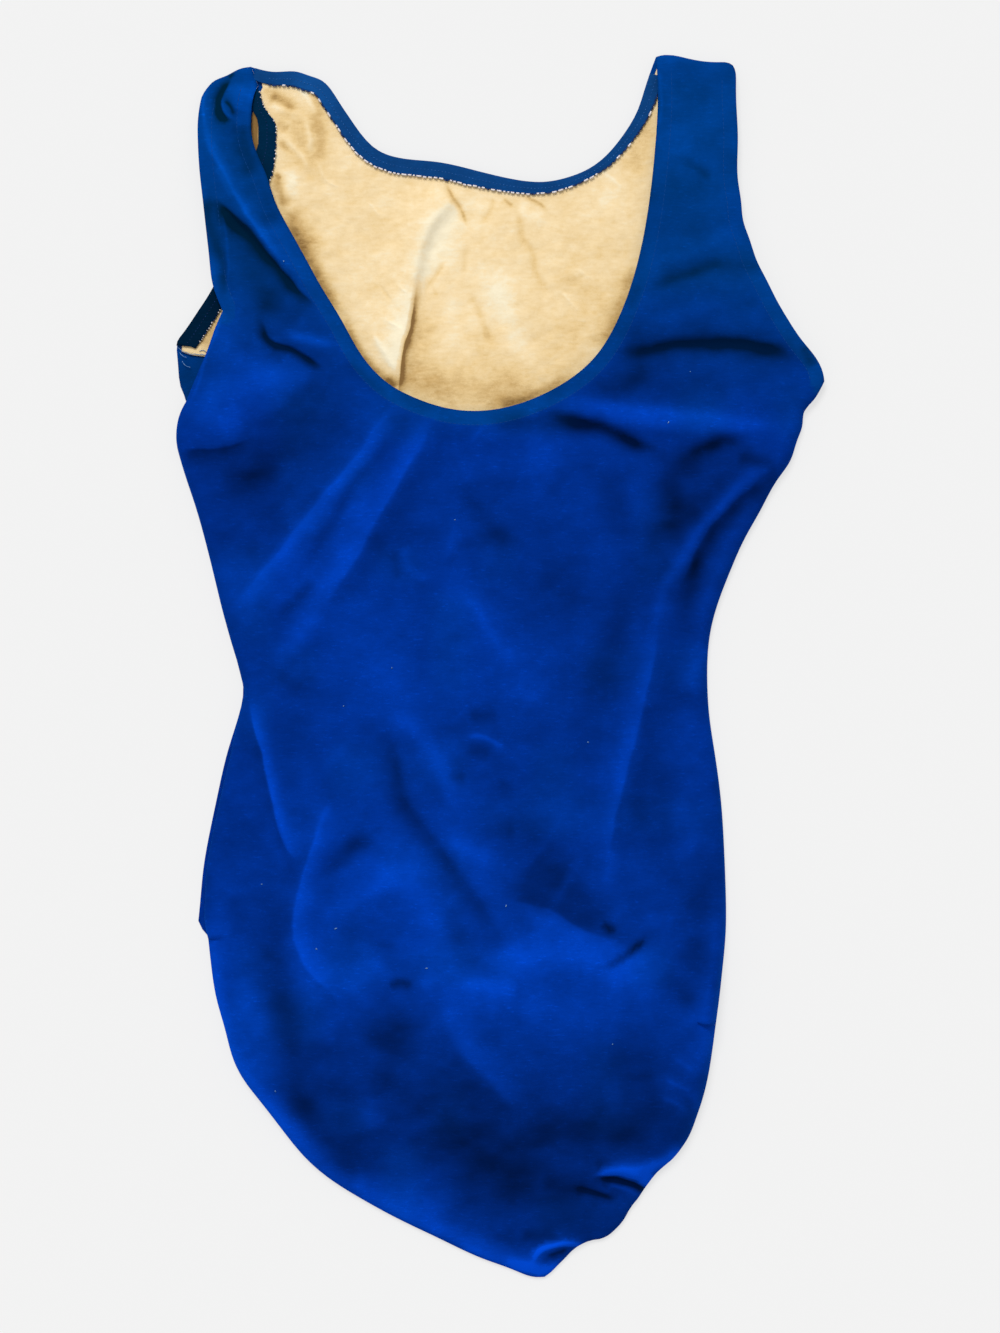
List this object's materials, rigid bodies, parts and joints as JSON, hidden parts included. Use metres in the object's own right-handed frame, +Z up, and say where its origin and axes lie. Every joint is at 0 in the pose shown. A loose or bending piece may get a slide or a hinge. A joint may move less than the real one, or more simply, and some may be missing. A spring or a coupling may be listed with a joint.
{
  "type": "tank leotard laid flat",
  "caption": "Royal blue tank leotard laid flat with its scooped back uppermost, a beige brushed lining showing inside the neck, turned elastic hems and soft drag folds.",
  "frame": {"origin": "centre of the garment's plan on the surface that it lies on", "axes": "+Y towards the straps, +X towards the wearer's right-hand strap as drawn, on the viewer's right, +Z up from the surface"},
  "size_m": [0.389, 0.7342, 0.0255],
  "materials": {
    "blue_jersey": "matt",
    "brushed_lining": "matt",
    "turned_hem": "matt"
  },
  "bodies": {
    "root": {"back_panel": "blue_jersey", "front_panel": "blue_jersey", "front_lining": "brushed_lining", "neck_hem_back": "turned_hem", "neck_hem_front": "turned_hem", "armhole_hem_left_back": "turned_hem", "armhole_hem_left_front": "turned_hem", "armhole_hem_right_back": "turned_hem", "armhole_hem_right_front": "turned_hem", "leg_hem_left_back": "turned_hem", "leg_hem_left_front": "turned_hem", "leg_hem_right_back": "turned_hem", "leg_hem_right_front": "turned_hem"}
  },
  "joints": []
}
